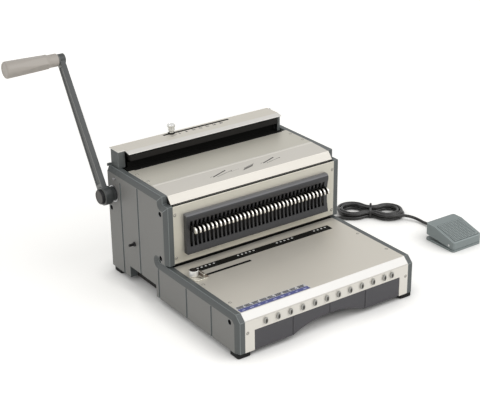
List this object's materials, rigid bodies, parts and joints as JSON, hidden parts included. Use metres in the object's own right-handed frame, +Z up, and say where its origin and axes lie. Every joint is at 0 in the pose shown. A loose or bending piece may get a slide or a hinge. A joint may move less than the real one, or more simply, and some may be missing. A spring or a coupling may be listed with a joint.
{
  "type": "wire binding machine",
  "caption": "Desk-top electric wire punch and binder with a slotted wire rack, a crank-operated wire closer, a chip drawer, pull pins and a foot switch on a tied lead.",
  "frame": {"origin": "on the bench, below the middle of the body between the side panels and between front and rear", "axes": "+X to the operator's right, +Y from the front to the rear, +Z up"},
  "size_m": [0.7592, 0.5488, 0.3983],
  "materials": {
    "side_moulding": "satin",
    "rack_moulding": "satin",
    "brushed_plate": "brushed",
    "rear_paint": "satin",
    "steel": "machined",
    "polished_steel": "polished",
    "black_metal": "satin",
    "foot_rubber": "matte",
    "ruler_print": "matte",
    "arm_paint": "satin",
    "grip_plastic": "satin",
    "pin_metal": "satin",
    "knob_metal": "turned",
    "black_plastic": "satin",
    "cord_sheath": "satin",
    "board": "satin",
    "gear_case": "cast",
    "pedal_moulding": "satin",
    "pin_plastic": "satin"
  },
  "bodies": {
    "machine": {"left_side_panel": "side_moulding", "right_side_panel": "side_moulding", "closer_end_caps": "side_moulding", "hook_panel": "rack_moulding", "table_plate": "brushed_plate", "face_plate": "brushed_plate", "top_cover": "brushed_plate", "closer_plate": "brushed_plate", "front_panel": "brushed_plate", "rear_cover": "rear_paint", "shaft_bushes": "steel", "cover_screws": "steel", "stop_peg": "steel", "wire_hooks": "polished_steel", "closer_bed": "black_metal", "side_frames": "black_metal", "base_plate": "black_metal", "hook_bar": "black_metal", "die_block": "black_metal", "punch_guide": "black_metal", "rubber_feet": "foot_rubber", "ruler_strip": "ruler_print", "inlet_module": "black_plastic", "cord_glands": "black_plastic", "side_peg": "black_plastic", "cord_lead_machine": "cord_sheath", "cord_hank": "cord_sheath", "cord_tie": "cord_sheath", "cord_lead_pedal": "cord_sheath", "control_board": "board", "gearbox": "gear_case", "motor": "gear_case", "pedal_base": "pedal_moulding", "pedal_pin": "pin_plastic"},
    "handle": {"handle_arm": "arm_paint", "hub_cap": "grip_plastic", "handle_shaft": "steel"},
    "grip": {"handle_grip": "grip_plastic"},
    "jaw": {"closer_jaw": "black_metal"},
    "stop": {"closer_slider": "black_metal"},
    "stop_knob": {"closer_knob": "knob_metal"},
    "guide": {"margin_guide": "steel"},
    "guide_knob": {"margin_knob": "knob_metal"},
    "drawer": {"chip_drawer": "rack_moulding"},
    "drive": {"drive_shaft": "steel"},
    "ram": {"punch_ram": "steel"},
    "treadle": {"pedal_treadle": "pedal_moulding"},
    "rocker": {"switch_rocker": "black_plastic"},
    "pin_1": {"pull_pin_1": "pin_metal"},
    "pin_2": {"pull_pin_2": "pin_metal"},
    "pin_3": {"pull_pin_3": "pin_metal"},
    "pin_4": {"pull_pin_4": "pin_metal"},
    "pin_5": {"pull_pin_5": "pin_metal"},
    "pin_6": {"pull_pin_6": "pin_metal"},
    "pin_7": {"pull_pin_7": "pin_metal"},
    "pin_8": {"pull_pin_8": "pin_metal"},
    "pin_9": {"pull_pin_9": "pin_metal"},
    "pin_10": {"pull_pin_10": "pin_metal"},
    "pin_11": {"pull_pin_11": "pin_metal"},
    "pin_12": {"pull_pin_12": "pin_metal"}
  },
  "joints": [
    {"name": "handle_swing", "type": "hinge", "parent": "machine", "child": "handle", "pos_m": [-0.2, 0.185, 0.161], "axis": [1, 0, 0], "range_deg": [0, 85]},
    {"name": "grip_spin", "type": "hinge", "parent": "handle", "child": "grip", "pos_m": [-0.26, 0.32254, 0.38282], "axis": [1, 0, 0], "continuous": true},
    {"name": "jaw_close", "type": "slide", "parent": "machine", "child": "jaw", "axis": [0, 0, -1], "range_m": [0, 0.01]},
    {"name": "stop_slide", "type": "slide", "parent": "machine", "child": "stop", "axis": [1, 0, 0], "range_m": [-0.014, 0.12]},
    {"name": "stop_knob_turn", "type": "hinge", "parent": "stop", "child": "stop_knob", "pos_m": [-0.055, 0.1995, 0.2515], "axis": [0, 0, 1], "continuous": true},
    {"name": "guide_slide", "type": "slide", "parent": "machine", "child": "guide", "axis": [1, 0, 0], "range_m": [0, 0.09]},
    {"name": "guide_knob_turn", "type": "hinge", "parent": "guide", "child": "guide_knob", "pos_m": [-0.166, -0.04, 0.085], "axis": [0, 0, 1], "continuous": true},
    {"name": "drawer_slide", "type": "slide", "parent": "machine", "child": "drawer", "axis": [0, -1, 0], "range_m": [0, 0.2]},
    {"name": "shaft_turn", "type": "hinge", "parent": "machine", "child": "drive", "pos_m": [0, 0.05, 0.15], "axis": [1, 0, 0], "range_deg": [0, 150]},
    {"name": "ram_punch", "type": "slide", "parent": "machine", "child": "ram", "axis": [0, 0, -1], "range_m": [0, 0.01]},
    {"name": "pedal_press", "type": "hinge", "parent": "machine", "child": "treadle", "pos_m": [0.403, -0.1105, 0.0108], "axis": [-1, 0, 0], "range_deg": [0, 6.5], "stiffness_Nm_per_rad": 0.5, "springref_deg": -17.19},
    {"name": "switch_rock", "type": "hinge", "parent": "machine", "child": "rocker", "pos_m": [-0.094, 0.2025, 0.046], "axis": [0, 0, 1], "range_deg": [0, 20]},
    {"name": "pull_pin_1_slide", "type": "slide", "parent": "machine", "child": "pin_1", "axis": [0, -1, 0], "range_m": [0, 0.008]},
    {"name": "pull_pin_2_slide", "type": "slide", "parent": "machine", "child": "pin_2", "axis": [0, -1, 0], "range_m": [0, 0.008]},
    {"name": "pull_pin_3_slide", "type": "slide", "parent": "machine", "child": "pin_3", "axis": [0, -1, 0], "range_m": [0, 0.008]},
    {"name": "pull_pin_4_slide", "type": "slide", "parent": "machine", "child": "pin_4", "axis": [0, -1, 0], "range_m": [0, 0.008]},
    {"name": "pull_pin_5_slide", "type": "slide", "parent": "machine", "child": "pin_5", "axis": [0, -1, 0], "range_m": [0, 0.008]},
    {"name": "pull_pin_6_slide", "type": "slide", "parent": "machine", "child": "pin_6", "axis": [0, -1, 0], "range_m": [0, 0.008]},
    {"name": "pull_pin_7_slide", "type": "slide", "parent": "machine", "child": "pin_7", "axis": [0, -1, 0], "range_m": [0, 0.008]},
    {"name": "pull_pin_8_slide", "type": "slide", "parent": "machine", "child": "pin_8", "axis": [0, -1, 0], "range_m": [0, 0.008]},
    {"name": "pull_pin_9_slide", "type": "slide", "parent": "machine", "child": "pin_9", "axis": [0, -1, 0], "range_m": [0, 0.008]},
    {"name": "pull_pin_10_slide", "type": "slide", "parent": "machine", "child": "pin_10", "axis": [0, -1, 0], "range_m": [0, 0.008]},
    {"name": "pull_pin_11_slide", "type": "slide", "parent": "machine", "child": "pin_11", "axis": [0, -1, 0], "range_m": [0, 0.008]},
    {"name": "pull_pin_12_slide", "type": "slide", "parent": "machine", "child": "pin_12", "axis": [0, -1, 0], "range_m": [0, 0.008]}
  ],
  "couplings": [
    {"joint": "jaw_close", "follows": "handle_swing", "m_per_rad": 0.00674},
    {"joint": "shaft_turn", "follows": "ram_punch", "rad_per_m": 261.8}
  ]
}
